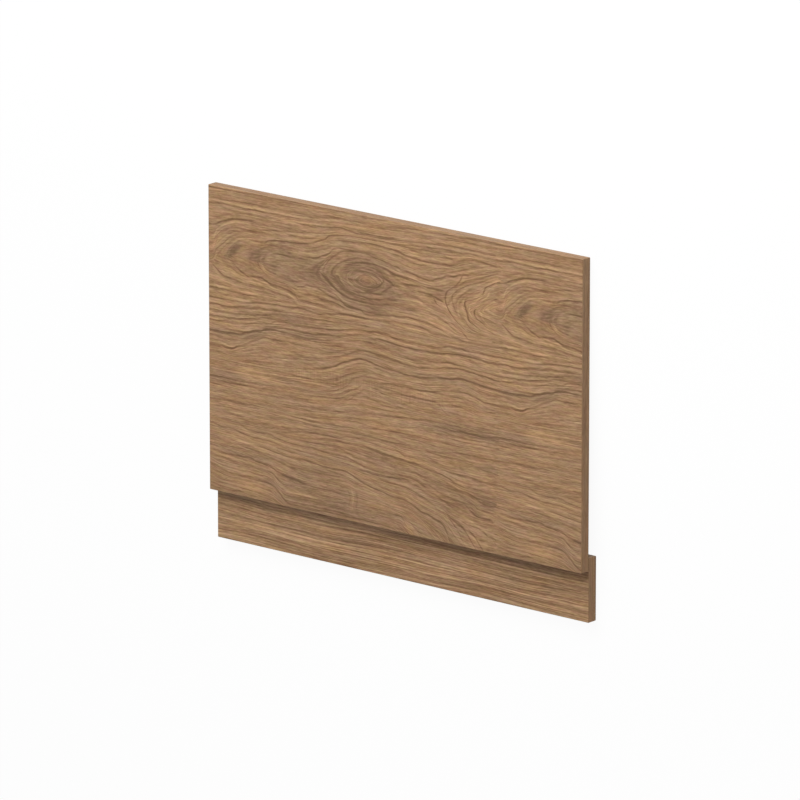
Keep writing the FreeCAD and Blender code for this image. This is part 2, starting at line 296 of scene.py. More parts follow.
# The darker growth lines: the places that each passes through, across and up the print, and how dark it is
# there, in tenths. Below zero it is a light streak.
grain_lines = [
    # Straight grain along the top
    [(-365, 477, 5), (-310, 477, 5), (-270, 477.5, 2), (-130, 479, 4), (-80, 479.5, 4), (-40, 480, 0)],
    [(-365, 462, 3), (-325, 461, 5), (-285, 461, 5), (-250, 461.5, 3), (-190, 463, 2), (-150, 465, 3),
     (-125, 467.5, 7), (-65, 468, 7), (-30, 469, 4), (0, 470.5, 6), (20, 472.5, 8), (45, 474, 7),
     (60, 474.5, 2), (105, 476, 5), (204, 478, 3)],
    [(100, 471.5, 0), (115, 471, 6), (135, 471, 6), (155, 471, 5), (170, 471, 0)],
    [(-365, 456.5, -2), (-262, 456.5, -3), (-205, 456.5, -4), (-180, 457, -5), (-165, 457, -4),
     (-140, 459, -3), (-115, 463, -2), (-90, 465, 0)],
    [(-365, 453, 7), (-345, 453.5, 8), (-335, 454.5, 8), (-300, 453.5, 8), (-265, 454, 8), (-245, 453, 5),
     (-190, 454.5, 5), (-150, 456, 6), (-125, 459, 4), (-65, 464, 3), (0, 466, 2), (204, 470, 2)],
    [(-345, 446, 0), (-320, 446, 5), (-290, 446, 5), (-257, 445.5, 4), (-230, 446, 2), (-200, 446, 0)],
    [(-200, 446, 0), (-170, 447, 4), (-125, 450.5, 5), (-100, 453.5, 5), (-80, 451, 6), (-70, 449.7, 8),
     (-50, 451, 7), (-12, 451.5, 9), (0, 453, 7), (25, 453.5, 6), (60, 456, 6), (95, 458.5, 7),
     (145, 459.5, 8), (204, 459, 8)],
    [(-105, 442, 0), (-90, 443, 3), (-80, 443.5, 6), (-47, 445, 7), (-30, 445.5, 8), (-12, 445, 8),
     (5, 446, 8), (25, 447, 8), (40, 449, 7), (60, 450.5, 7), (80, 451, 7), (100, 453, 8),
     (135, 452.5, 6), (150, 454, 6), (195, 452.5, 6), (204, 452, 6)],
    [(-365, 418.5, 9), (-350, 421, 9), (-340, 425.5, 9), (-327, 430.5, 10), (-320, 433, 9), (-305, 434.5, 8),
     (-292, 435.7, 7), (-262, 437.5, 2), (-215, 436.5, 3), (-190, 437, 3), (-150, 441, 3), (-120, 447, 2),
     (-100, 449, 0)],
    [(-352, 400, 0), (-346, 405, 4), (-332, 413.5, 5), (-320, 419, 6), (-300, 421, 7), (-277, 420.5, 7),
     (-265, 421, 5), (-250, 422, 2), (-235, 423, 0)],
    [(-352, 380, 0), (-350, 381, 5), (-340, 389, 6), (-332, 395, 6), (-322, 403, 4), (-310, 409, 3),
     (-285, 411, 0)],
    [(-270, 424, 0), (-255, 426, 5), (-235, 428, 6), (-222, 429.5, 3), (-205, 431.5, 5), (-180, 434, 3),
     (-160, 436, 0)],
    [(-215, 426, 0), (-200, 426, 4), (-180, 426, 6), (-168, 427, 6), (-157, 429, 4), (-150, 432, 3),
     (-140, 436, 0)],
    [(-290, 405, 0), (-270, 406, 6), (-252, 406.7, 7), (-245, 410.5, 8), (-225, 413.8, 8), (-185, 416.5, 9),
     (-160, 420.5, 7), (-150, 424.5, 8), (-140, 428.7, 8), (-132, 431.2, 9), (-125, 437, 8),
     (-115, 440, 8), (-98, 442.5, 6), (-85, 444, 2), (-60, 445, 0)],
    [(-105, 434, 0), (-90, 435.5, 6), (-80, 435.7, 9), (-55, 437.5, 9), (-40, 438.5, 10), (-15, 437, 9),
     (5, 435.5, 9), (17, 433.7, 9), (27, 431.2, 8), (45, 430, 9), (60, 428.2, 9), (75, 428.2, 10),
     (105, 430, 10), (115, 431.2, 8), (125, 435, 7), (132, 438.7, 5), (140, 442, 2), (150, 445, 0)],
    [(30, 442, 0), (35, 441.2, 5), (60, 439.2, 6), (80, 439.5, 6), (95, 440, 7), (100, 440.5, 10),
     (114, 440.7, 10), (120, 441, 0)],
    [(128, 440, 0), (135, 441.2, 3), (150, 444.5, 5), (160, 445.7, 6), (190, 443, 7), (204, 442, 6)],
    # Round the eye and the nest beside it
    [(-245, 389, 0), (-232, 392, 5), (-225, 393, 9), (-205, 393.2, 8), (-178, 393, 8), (-165, 393, 3),
     (-155, 393, 0)],
    [(-210, 398.5, 0), (-203, 398.5, 7), (-190, 398, 4), (-175, 397.5, 5), (-165, 398, 9), (-150, 399, 9),
     (-140, 403.5, 6), (-130, 407, 6), (-122, 412, 5), (-116, 418, 5), (-108, 421, 6), (-80, 422, 8),
     (-65, 423, 7), (-47, 423.7, 8), (-37, 423, 6), (-28, 421, 0)],
    [(-125, 403, 0), (-118, 406, 5), (-110, 411, 5), (-100, 416, 4), (-92, 418, 0)],
    [(-55, 421, 0), (-42, 419, 5), (-22, 416, 7), (2, 411, 8), (12, 410, 8), (17, 407.5, 7),
     (30, 405.7, 8), (45, 404, 9), (53, 402, 9), (70, 400.5, 10), (80, 402, 8), (86, 405, 7),
     (95, 407.5, 7), (107, 413.7, 9), (120, 414.5, 8), (127, 417.5, 6), (135, 420, 6), (155, 421.5, 4),
     (165, 424, 4), (185, 430, 4), (204, 436, 4)],
    [(-45, 413, 0), (-37, 411.5, -3), (-5, 405, -4), (20, 400.5, -5), (40, 399, -5), (55, 397, 0)],
    [(-100, 392, 0), (-92, 398, 2), (-80, 403, 4), (-65, 405.5, 6), (-37, 407.5, 7), (-25, 406, 6),
     (-15, 405, 5), (-2, 400.5, 5), (5, 398.7, 8), (20, 397.5, 8), (30, 396.2, 7), (40, 396, 4),
     (55, 393, 3), (65, 389.5, 6), (75, 389, 9), (97, 388.7, 8), (104, 389, 0)],
    [(-84, 380, 0), (-82, 384, 3), (-75, 390, 5), (-65, 393, 6), (-52, 393.7, 5), (-42, 392.5, 5),
     (-30, 388.7, 6), (-23, 384.5, 6), (-20, 381, 6), (-18, 379, 0)],
    [(-86, 382, 0), (-83, 378, 4), (-75, 373, 1), (-65, 371, 1), (-47, 370.7, 2), (-35, 372.5, 3),
     (-25, 376, 6), (-20, 380.5, 8), (-17, 384, 0)],
    [(-22, 394, 0), (-17, 390, 5), (-8, 387, 7), (2, 382, 7), (5, 379, 0)],
    [(-28, 362, 0), (-20, 367, 4), (-12, 372, 5), (-5, 377, 5), (3, 382, 5), (6, 385, 0)],
    [(-110, 380, 0), (-103, 372, 3), (-90, 364, 3), (-75, 360, 4), (-60, 360, 5), (-47, 362.5, 7),
     (-32, 362.5, 7), (-20, 364, 3), (-10, 366, 0)],
    [(-95, 358, 0), (-80, 357, 4), (-65, 355, 5), (-42, 353.5, 6), (-30, 354.5, 6), (-10, 358, 4),
     (5, 359, 4), (20, 362, 3), (45, 362.5, 3), (70, 358, 0)],
    [(-90, 377, 0), (-82, 377, 7), (-70, 377.5, 5), (-62, 378, 0)],
    [(8, 386, 0), (20, 387, 4), (30, 387, 6), (45, 387.5, 6), (58, 387, 0)],
    [(45, 380.5, 0), (52, 380, 6), (70, 379.5, 7), (82, 377, 7), (92, 374, 6), (100, 371, 3), (108, 366, 0)],
    [(193, 391.5, 0), (200, 392, 7), (204, 392, 6)],
    [(-257, 370, 0), (-250, 366, 4), (-235, 362, 5), (-217, 357.5, 3), (-205, 356, 5), (-190, 356, 6),
     (-180, 357, 0)],
    [(-145, 380, 0), (-139, 376, 7), (-132, 372, 7), (-122, 365, 8), (-115, 360, 9), (-107, 355, 9),
     (-100, 351.2, 9), (-92, 348.7, 8), (-80, 347, 6), (-65, 346, 6), (-40, 346, 3), (0, 350, 2),
     (40, 350, 0)],
    [(-190, 348, 0), (-185, 349, 7), (-177, 350.5, 7), (-167, 354, 6), (-152, 354, 6), (-137, 350, 7),
     (-130, 347, 4), (-119, 344, 7), (-110, 342.5, 8), (-100, 340, 8), (-92, 335.2, 8), (-85, 333.2, 8),
     (-62, 333, 8), (-57, 329.5, 6), (-45, 328, 7), (-32, 329, 7), (-20, 331.2, 8), (-7, 333.7, 8),
     (20, 335.2, 9), (30, 337, 10), (45, 336.2, 9), (70, 334, 7), (80, 332.5, 7), (90, 330, 7),
     (102, 328, 6), (115, 324, 5), (125, 322, 0)],
    [(-182, 336, 0), (-177, 337, 4), (-160, 340, 6), (-150, 339, 6), (-135, 336.2, 6), (-117, 336, 6),
     (-105, 333.7, 6), (-95, 330, 5), (-85, 328, 3), (-70, 328, 0)],
    [(-190, 327, 0), (-180, 327.5, 5), (-157, 327.5, 5), (-140, 326, 4), (-120, 325, 3), (-100, 326, 0)],
    [(-190, 323, 0), (-180, 322.5, -5), (-160, 322.5, -6), (-140, 322, -5), (-125, 322, 0)],
    [(-315, 362, 0), (-301, 354.5, 7), (-292, 351, 8), (-285, 348.5, 8), (-270, 350.5, 8), (-260, 350.5, 8),
     (-250, 347, 9), (-235, 343, 9), (-225, 343, 8), (-215, 341, 8), (-205, 339.5, 8), (-195, 336, 8),
     (-190, 333.5, 6), (-187, 329, 4), (-182, 324, 0)],
    [(-363, 360, 0), (-355, 355, 5), (-342, 346, 8), (-335, 342.5, 8), (-327, 341, 7), (-315, 339.5, 6),
     (-300, 336.3, 6), (-280, 335, 6), (-265, 336, 5), (-240, 333, 3), (-210, 329, 2), (-190, 327, 0)],
    [(10, 363, 0), (20, 363.5, -5), (45, 364, -7), (60, 363, -4), (75, 360, 0)],
    [(-270, 344, 0), (-255, 344.5, -5), (-235, 338.5, -4), (-210, 335.5, -4), (-195, 330, -6),
     (-188, 326, 0)],
    [(95, 342, 0), (104, 341.5, 6), (112, 341, 7), (120, 340, 5), (127, 338, 0)],
    [(130, 333, 0), (137, 330, 6), (143, 326, 7), (150, 322, 0)],
    [(20, 387, 0), (30, 387, 5), (45, 387.5, 5), (60, 387, 3), (70, 386, 0)],
    [(-333, 407.5, 0), (-320, 414.5, 4), (-307, 415.5, 4), (-290, 417, 3), (-280, 418, 0)],
    # Long waves across the middle
    [(-365, 323.5, -3), (-335, 324, -4), (-310, 324, -2), (-290, 323.5, -4), (-275, 323, -4),
     (-255, 322, 0)],
    [(20, 320, 0), (30, 320, -6), (50, 319.5, -7), (65, 319, -4), (80, 317, 0)],
    [(150, 264.5, 0), (165, 263.5, 3), (185, 262, 4), (204, 262, 3)],
    [(-365, 320, 5), (-355, 320, 6), (-320, 320, 7), (-300, 319.5, 4), (-265, 318.5, 3), (-245, 319.5, 5),
     (-232, 320.5, 6), (-218, 321, 5), (-200, 321.5, 2), (-120, 321, 2), (-80, 321, 6), (-65, 321, 6),
     (-30, 323, 6), (-5, 324.5, 6), (5, 326, 6), (50, 326, 6), (65, 324, 6), (75, 321, 5), (95, 320, 6),
     (125, 320, 6), (140, 317.5, 5), (160, 317.5, 4), (204, 319, 5)],
    [(-340, 312, 0), (-325, 313, 7), (-300, 313.2, 7), (-282, 314.2, 7), (-265, 316, 5), (-240, 317.5, 4),
     (-222, 319.5, 3), (-210, 320, 0)],
    [(-365, 305, 9), (-320, 305.5, 8), (-290, 307, 7), (-265, 310.5, 7), (-235, 312.5, 5), (-200, 313, 5),
     (-185, 315.5, 9), (-175, 315.2, 8), (-157, 313.7, 8), (-145, 313, 7), (-132, 315.5, 8),
     (-115, 317, 9), (-108, 319, 7), (-100, 320.5, 9), (-90, 321, 9), (-65, 321.2, 7), (-40, 321.5, 0)],
    [(-365, 293.5, 8), (-350, 295, 8), (-332, 293.7, 8), (-315, 295.5, 7), (-297, 298.7, 7),
     (-282, 300, 7), (-260, 303, 8), (-240, 303.5, 5), (-215, 305, 4), (-170, 308, 3), (-60, 314, 3),
     (20, 316, 2), (130, 311, 3), (204, 311, 4)],
    [(-365, 285, 5), (-315, 285.2, 6), (-292, 288.7, 6), (-275, 290.5, 6), (-257, 292.7, 6),
     (-235, 297.5, 6), (-215, 300, 5), (-150, 304, 4), (-100, 306, 3), (-50, 309, 2), (60, 306, 2),
     (204, 308, 2)],
    [(-365, 275.5, 7), (-355, 275.7, 9), (-340, 277, 9), (-320, 277.5, 9), (-300, 279, 9), (-290, 281, 7),
     (-270, 284, 6), (-257, 288.7, 5), (-235, 291, 4), (-200, 294, 3), (-160, 297.5, 3), (-120, 300, 3),
     (-95, 301, 0)],
    [(-365, 269, 6), (-350, 269, 6), (-332, 271.7, 6), (-315, 272, 6), (-292, 273.7, 5), (-277, 276.2, 6),
     (-265, 280, 6), (-255, 281, 6), (-240, 283.2, 6), (-230, 287.2, 6), (-215, 288.7, 7),
     (-200, 288.2, 7), (-165, 290, 8), (-150, 291, 9), (-125, 292.5, 9), (-110, 293.7, 8), (-90, 297.5, 7),
     (-77, 300, 8), (-65, 302, 8), (-47, 302.2, 8), (-22, 304.2, 9), (-10, 304, 9), (2, 301.2, 9),
     (20, 300, 9), (40, 299.2, 9), (85, 299.2, 9), (95, 301, 8), (105, 303.7, 8), (120, 304.5, 9),
     (135, 305.5, 9), (145, 304, 8), (175, 305, 8), (190, 304, 9), (204, 304.7, 8)],
    [(-250, 276, 0), (-240, 277, 5), (-230, 277.7, 8), (-220, 279, 9), (-190, 279.5, 9), (-157, 279.5, 8),
     (-145, 281.2, 7), (-125, 283.7, 7), (-110, 284.2, 7), (-95, 287.5, 7), (-82, 290.5, 8),
     (-65, 293.5, 7), (-50, 294, 4), (-37, 292.7, 7), (-27, 293.7, 9), (-5, 292.5, 8), (7, 290.7, 8),
     (20, 290, 8), (37, 290, 10), (60, 290.5, 7), (75, 290, 7), (100, 292.5, 7), (120, 295.5, 8),
     (137, 296.2, 9), (155, 296, 8), (170, 295, 8), (185, 293.2, 8), (204, 293.5, 8)],
    [(-350, 260, 0), (-340, 260, 5), (-300, 260, 6), (-285, 260, 4), (-275, 263, 0)],
    [(-365, 253, 9), (-332, 253.2, 9), (-317, 254.5, 9), (-300, 256.2, 9), (-290, 260, 9), (-280, 263, 8),
     (-270, 265.5, 9), (-260, 266.5, 9), (-255, 269.5, 9), (-242, 272.5, 9), (-225, 273.2, 9),
     (-210, 272.5, 8), (-190, 271.7, 7), (-170, 270.5, 8), (-152, 272.5, 7), (-132, 273.7, 5),
     (-115, 278, 5), (-95, 281, 5), (-80, 282.7, 7), (-60, 285, 7), (-45, 285, 6), (-35, 283, 3),
     (-22, 280.7, 6), (-7, 280.2, 7), (2, 278.7, 6), (20, 276, 5), (32, 274, 6), (55, 276, 4),
     (95, 277.7, 5), (110, 280.2, 7), (127, 279.5, 9), (145, 279, 9), (160, 277.7, 7), (185, 276.2, 6),
     (204, 275.5, 7)],
    [(-300, 240, 0), (-290, 243, 3), (-265, 253, 4), (-255, 257.5, 7), (-237, 258.2, 7), (-222, 259.5, 4),
     (-207, 260, 6), (-185, 258.5, 6), (-170, 258.5, 3), (-150, 257, 2), (-125, 258, 2), (-110, 257, 0)],
    [(-125, 249, 0), (-110, 252.5, 4), (-90, 259, 6), (-77, 265, 6), (-67, 268, 6), (-57, 270, 4),
     (-47, 271, 4), (-35, 269, 5), (0, 267, 5), (15, 265, 6), (30, 263, 7), (45, 262.5, 7),
     (60, 263.7, 8), (75, 265.2, 8), (90, 267.5, 9), (100, 270.5, 9), (115, 272.5, 9), (130, 273.7, 9),
     (157, 272.5, 8), (170, 271.2, 8), (185, 270, 9), (197, 268.2, 7), (204, 268, 7)],
    [(-190, 221, 0), (-165, 225, 4), (-152, 227, 9), (-137, 229.5, 9), (-127, 232.5, 9), (-112, 237, 8),
     (-107, 240, 8), (-100, 244, 9), (-85, 249.7, 9), (-70, 255.2, 10), (-62, 257, 10), (-55, 257, 10),
     (-45, 255.5, 9), (-30, 252.5, 9), (0, 250, 9), (15, 249, 9), (25, 247.5, 9), (45, 247.5, 8),
     (60, 248.2, 7), (75, 251.2, 7), (85, 253.7, 8), (100, 255, 9), (117, 256.2, 8), (125, 258.2, 9),
     (135, 259.5, 10), (145, 258.2, 9), (160, 257.5, 9), (175, 255.5, 10), (187, 254.5, 10),
     (204, 253.5, 10)],
    [(-365, 230, 8), (-345, 231.5, 7), (-330, 230, 9), (-318, 230.5, 10), (-308, 234.5, 9), (-295, 238, 7),
     (-283, 242, 3), (-272, 245, 0)],
    [(-30, 226.5, 0), (-17, 227, 6), (-5, 228, 8), (15, 228.5, 7), (60, 228.2, 9), (70, 229.5, 8),
     (80, 230.5, 7), (95, 234, 6), (115, 238, 3), (130, 239.5, 4), (147, 238.2, 8), (157, 237, 9),
     (165, 234.5, 10), (172, 232.5, 10), (182, 230, 10), (204, 230, 8)],
    [(70, 229, 0), (85, 229, 6), (105, 229, 6), (125, 229, 5), (140, 229, 0)],
    # Short strokes under the waves
    [(-240, 209, 0), (-230, 209, 5), (-200, 209.5, 5), (-195, 209, 8), (-175, 208.7, 8), (-160, 209, 4),
     (-150, 209, 0)],
    [(-190, 201, 0), (-165, 202.5, -5), (-145, 203, -6), (-127, 203, -5), (-115, 203, 0)],
    [(-145, 189, 0), (-130, 190, 5), (-115, 192.5, 6), (-102, 196.2, 8), (-95, 200, 8), (-75, 207.5, 8),
     (-65, 212.5, 7), (-58, 217, 0)],
    [(-145, 194, 0), (-130, 195, 4), (-112, 199, 5), (-100, 206, 5), (-90, 210, 5), (-78, 218, 0)],
    [(-165, 183, 0), (-150, 184, 6), (-130, 185.5, 7), (-112, 187, 7), (-100, 190, 5), (-90, 192.5, 4),
     (-80, 197.5, 5), (-70, 201, 5), (-60, 207, 3), (-52, 212, 0)],
    [(-98, 188, 0), (-92, 189, 9), (-87, 189.5, 9), (-80, 192.5, 9), (-74, 196, 0)],
    [(-42, 215, 0), (-38, 215, 5), (-28, 215, 5), (-24, 213, 3), (-20, 210.5, 9), (-16, 210.5, 4),
     (-5, 213, 3), (5, 215, 6), (22, 215, 7), (32, 215.2, 3), (41, 215.7, 8), (55, 215, 8), (82, 215, 8),
     (90, 213, 4), (97, 212.5, 6), (115, 215.5, 6), (127, 215.5, 7), (140, 215, 2), (160, 215, 3),
     (180, 215, 0)],
    [(5, 201, 0), (10, 202, 6), (25, 202, 7), (32, 204, 5), (40, 208, 4), (48, 211, 0)],
    [(-30, 192, 0), (-20, 192, 6), (5, 192, 5), (10, 193, 9), (17, 194, 9), (25, 194, 2), (40, 196, 0)],
    [(85, 217, 0), (92, 212, 3), (97, 206, 4), (105, 201, 4), (115, 199, 4), (125, 198, 3), (140, 199, 0)],
    [(92, 218, 0), (100, 209, 3), (110, 204.5, 3), (120, 204, 3), (130, 205, 0)],
    [(-365, 182, 3), (-345, 181.5, 6), (-330, 181.5, 7), (-315, 182, 4), (-300, 182, 0)],
    [(-345, 175, 0), (-335, 175, 6), (-318, 175.2, 7), (-307, 175.7, 9), (-292, 176, 8), (-282, 177, 3),
     (-272, 178, 0)],
    [(-262, 178, 0), (-250, 180.5, 4), (-230, 182, 4), (-218, 182, 0)],
    [(-165, 165, 0), (-157, 165, 6), (-148, 165, 6), (-130, 165, 3), (-120, 165.5, 3), (-110, 167, 8),
     (-97, 168.2, 9), (-90, 170, 8), (-65, 174.5, 7), (-47, 175.7, 6), (-22, 176.5, 5), (-12, 177, 8),
     (5, 178.2, 9), (20, 180, 8), (32, 181, 9), (50, 181.2, 9), (55, 183, 9), (60, 184, 8),
     (75, 184.5, 6), (125, 184, 5), (145, 182, 0)],
    [(70, 178, 0), (85, 178, 5), (105, 177.7, 6), (115, 175.7, 6), (130, 177, 6), (142, 178, 9),
     (162, 178, 9), (175, 177, 7), (190, 179, 6), (204, 180, 6)],
    [(60, 168, 0), (65, 167.5, 6), (80, 167.5, 6), (88, 166.5, 4), (105, 166.2, 6), (112, 168, 7),
     (132, 168, 7), (150, 168, 3), (165, 168, 0)],
    [(-105, 152, 0), (-95, 152.5, -3), (-80, 154, -4), (-55, 156.2, -3), (-30, 159.5, -3), (-5, 161.2, -3),
     (15, 161.2, -4), (35, 163.5, -3), (50, 165, 0)],
    [(-365, 145, 5), (-350, 145.7, 6), (-340, 147, 7), (-325, 147, 9), (-310, 146.8, 9), (-292, 146.2, 8),
     (-277, 147, 5), (-265, 147, 2), (-250, 147, 0)],
    [(-272, 153, 0), (-262, 153, 5), (-230, 152.7, 6), (-220, 153, 0)],
    [(-188, 143, 0), (-180, 143.5, 7), (-165, 143, 9), (-147, 143.8, 8), (-140, 144, 2), (-125, 145, 5),
     (-100, 145, 6), (-85, 147, 2), (-45, 152.5, 4), (-32, 153.2, 8), (2, 154.5, 8), (15, 155.5, 9),
     (32, 156, 9), (55, 156, 8), (62, 156.5, 0)],
    [(-185, 146.5, 0), (-178, 146.5, -5), (-155, 146.5, -5), (-145, 147, 0)],
    [(5, 159.5, 0), (12, 160, 5), (37, 160.2, 6), (45, 160.5, 0)],
    [(100, 153, 0), (110, 154, 6), (127, 154, 5), (140, 154.5, 2), (150, 155, 0)],
    [(150, 153, 0), (165, 154, -4), (204, 154.5, -7)],
    [(-365, 154.5, -7), (-350, 154.5, -4), (-335, 156, -5), (-310, 156, -5), (-300, 156, 0)],
    [(-182, 138.5, 0), (-175, 138, 6), (-160, 137.5, 7), (-150, 137.5, 2), (-120, 139, 2), (-65, 140, 7),
     (-55, 140, 9), (-40, 140, 8), (-30, 139, 4), (-20, 138.3, 7), (0, 138, 7), (10, 138, 0)],
    [(-190, 140.5, 0), (-180, 140.5, -5), (-145, 140.5, -5), (-135, 141, 0)],
    [(30, 148, 0), (38, 148.7, 5), (60, 149.2, 7), (70, 150, 0)],
    [(62, 137, 0), (70, 136.5, 9), (85, 135.5, 9), (95, 134.2, 7), (102, 133, 0)],
    [(118, 143, 0), (127, 144, 8), (140, 144.3, 9), (160, 144.2, 8), (180, 145, 5), (204, 145, 5)],
    [(120, 146.5, 0), (130, 146.5, -6), (142, 146.5, -5), (150, 147, 0)],
    [(-350, 138, 0), (-340, 138, 5), (-320, 138, 5), (-305, 138, 0)],
    [(-330, 126, 0), (-320, 126, 7), (-302, 126.2, 7), (-292, 126.5, 0)],
    [(-325, 130, 0), (-318, 130, -5), (-285, 130, -5), (-275, 130, 0)],
    [(155, 161, 0), (165, 161.5, -7), (178, 161, -7), (190, 160, 0)],
    [(8, 187, 0), (14, 187.5, 5), (30, 187.5, 5), (36, 188, 0)],
    [(42, 210, 0), (50, 209.5, 5), (70, 209.5, 6), (80, 209, 0)],
    # Slanting grain of the lower part
    [(-235, 89.5, 0), (-225, 88.5, 7), (-212, 88, 8), (-197, 88, 6), (-185, 88, 0)],
    [(-355, 116, 0), (-345, 116, 4), (-290, 116, 4), (-270, 117, 0)],
    [(40, 80, 0), (45, 79, 6), (55, 75, 5), (65, 71, 3), (75, 68, 0)],
    [(-350, 74, 0), (-340, 74, 5), (-322, 74.5, 4), (-305, 75, 5), (-290, 76, 0)],
    [(-365, 22, 4), (-340, 20, 3), (-300, 18, 3), (-275, 16, 0)],
    [(-190, 125.5, 0), (-182, 126, 6), (-160, 125.2, 5), (-130, 125.7, 5), (-100, 128, 3), (-80, 133, 4),
     (-55, 131, 5), (-35, 129, 6), (-25, 127.5, 10), (-18, 127, 6), (-5, 126, 8), (10, 126.2, 9),
     (20, 122.5, 8), (27, 121.2, 9), (55, 121.2, 9), (65, 120.5, 6), (80, 117, 4), (95, 113.5, 3),
     (110, 111.2, 6), (120, 110.8, 8), (138, 110.5, 8), (147, 111, 10), (160, 109.2, 10), (170, 107.5, 8),
     (180, 107, 3), (204, 106.5, 5)],
    [(-115, 121.5, 0), (-107, 121, 8), (-95, 121, 8), (-80, 122, 5), (-55, 122.5, 4), (-30, 119, 5),
     (-12, 117, 6), (2, 115.5, 8), (20, 114.3, 9), (27, 113, 9), (45, 112.5, 9), (60, 110.5, 8),
     (67, 109, 8), (80, 107.5, 8), (92, 105.5, 8), (110, 101, 9), (117, 98, 9), (125, 95.5, 8),
     (135, 94, 6), (150, 93.5, 4), (165, 93, 7), (185, 93, 6), (204, 93, 3)],
    [(-365, 107, 9), (-355, 106.8, 9), (-337, 104, 9), (-327, 104.3, 9), (-297, 99.5, 9), (-287, 98, 8),
     (-277, 97, 7), (-260, 97.5, 6), (-247, 97, 6), (-235, 95.7, 6), (-220, 93, 5), (-200, 92, 5),
     (-160, 92, 0)],
    [(-335, 96, 0), (-325, 95.5, 5), (-300, 94, 5), (-287, 92, 4), (-275, 91.5, 0)],
    [(-310, 115, 0), (-301, 113, 5), (-295, 110.5, 6), (-285, 107.3, 8), (-270, 107, 8), (-242, 108.2, 8),
     (-235, 105.7, 8), (-222, 103.7, 9), (-195, 101.2, 9), (-165, 101.2, 10), (-135, 99.5, 9),
     (-117, 99.2, 8), (-102, 99.5, 8), (-90, 98.7, 8), (-77, 95.5, 8), (-65, 93, 7), (-55, 90, 5),
     (-20, 88, 3), (5, 89.5, 4), (15, 90, 7), (30, 89.5, 9), (40, 88.8, 10), (46, 88, 9), (52, 85.5, 7),
     (57, 83, 8), (62, 80.8, 9), (67, 79.5, 0)],
    [(-222, 109, 0), (-212, 109.5, 7), (-190, 109.5, 7), (-150, 110, 3), (-130, 110.5, 6), (-100, 109.5, 7),
     (-87, 106, 6), (-65, 101, 5), (-45, 99, 3), (0, 96, 5), (17, 96.2, 5), (30, 96, 0)],
    [(-315, 86.5, 0), (-307, 86.5, -7), (-280, 86.5, -7), (-270, 87, 0)],
    [(-270, 85, 0), (-260, 85, 5), (-245, 83.8, 8), (-232, 82, 8), (-220, 80.5, 9), (-205, 79.5, 8),
     (-190, 79.5, 8), (-175, 80, 9), (-160, 78.8, 9), (-135, 76.2, 9), (-115, 76.2, 9), (-100, 77, 8),
     (-90, 75, 8), (-72, 69.5, 9), (-62, 66, 10), (-32, 59, 9), (-20, 57.5, 9), (-7, 54.7, 9), (5, 53.8, 9),
     (20, 53.2, 8), (30, 51.2, 8), (42, 47.5, 9), (57, 40.2, 10), (70, 38, 10), (85, 32, 9), (95, 29.5, 9),
     (102, 24, 9), (106, 17.5, 8), (112, 5, 7), (116, -3, 0)],
    [(-365, 81, 5), (-350, 80, 4), (-335, 78, 0)],
    [(-278, 76.5, 0), (-270, 76.3, 6), (-245, 76, 7), (-238, 75, 0)],
    [(-365, 72.5, 8), (-355, 73, 5), (-345, 74, 0)],
    [(-285, 68, 0), (-275, 68.5, 5), (-250, 67.7, 6), (-240, 67, 0)],
    [(-365, 68, 0), (-350, 63, 5), (-342, 62.5, 8), (-315, 62.5, 9), (-308, 63.5, 9), (-297, 62.5, 8),
     (-283, 64.5, 9), (-273, 61.5, 8), (-255, 59.2, 7), (-243, 59, 5), (-236, 56, 5), (-226, 50, 7),
     (-215, 48.3, 10), (-205, 46.5, 10), (-190, 45, 10), (-175, 42.3, 9), (-165, 41, 6), (-150, 40.5, 6),
     (-140, 41, 4), (-125, 42, 7), (-112, 42, 6), (-100, 42, 0)],
    [(-345, 56.5, 0), (-340, 56, 5), (-327, 54.2, 7), (-318, 53.2, 6), (-300, 51.5, 5), (-280, 51, 6),
     (-255, 49, 4), (-243, 48.5, 5), (-237, 47.3, 7), (-230, 42.5, 8), (-225, 37.8, 7), (-217, 34, 6),
     (-210, 31.2, 4), (-200, 30, 0)],
    [(-365, 44, 7), (-355, 41.2, 8), (-337, 36.2, 7), (-327, 34, 9), (-315, 33.8, 9), (-302, 32.5, 10),
     (-280, 32.3, 10), (-265, 32, 9), (-242, 30, 8), (-235, 27.5, 8), (-229, 23.5, 8), (-215, 11, 8),
     (-209, 7, 8), (-200, 5, 9), (-190, 5, 9), (-180, 5, 4), (-170, 4.5, 6), (-152, 4, 5), (-135, 7, 4),
     (-125, 9, 4), (-110, 8, 0)],
    [(-280, 22.5, 0), (-270, 22.5, 4), (-257, 20.2, 6), (-243, 19, 6), (-236, 16, 0)],
    [(-325, 6, 0), (-312, 7, 7), (-305, 8, 8), (-300, 7.5, 3), (-290, 7, 0)],
    [(-222, 24, 0), (-215, 24, -5), (-155, 24, -5), (-145, 23, 0)],
    [(-75, 83, 0), (-60, 83.2, 9), (-47, 82.5, 9), (-35, 80.9, 9), (-20, 81.2, 6), (-12, 82, 5),
     (-7, 82.5, 9), (2, 83.7, 9), (15, 83.3, 8), (25, 84.8, 7), (33, 83, 3), (42, 81, 0)],
    [(-30, 77, 0), (-20, 75.5, 8), (0, 73.9, 9), (15, 73, 8), (30, 71.3, 9), (37, 70, 6), (45, 68, 3),
     (52, 65, 6), (62, 62.5, 6), (70, 59, 6), (80, 55, 4), (90, 49, 5), (105, 45, 6), (120, 37.5, 6),
     (132, 34, 4), (145, 35, 0)],
    [(65, 88, 0), (72, 84, 4), (82, 80, 5), (95, 75, 6), (105, 73.5, 6), (115, 72, 4), (125, 70, 0)],
    [(75, 75, 0), (82, 72.5, 4), (95, 66.5, 5), (105, 63, 4), (115, 58, 4), (125, 53, 0)],
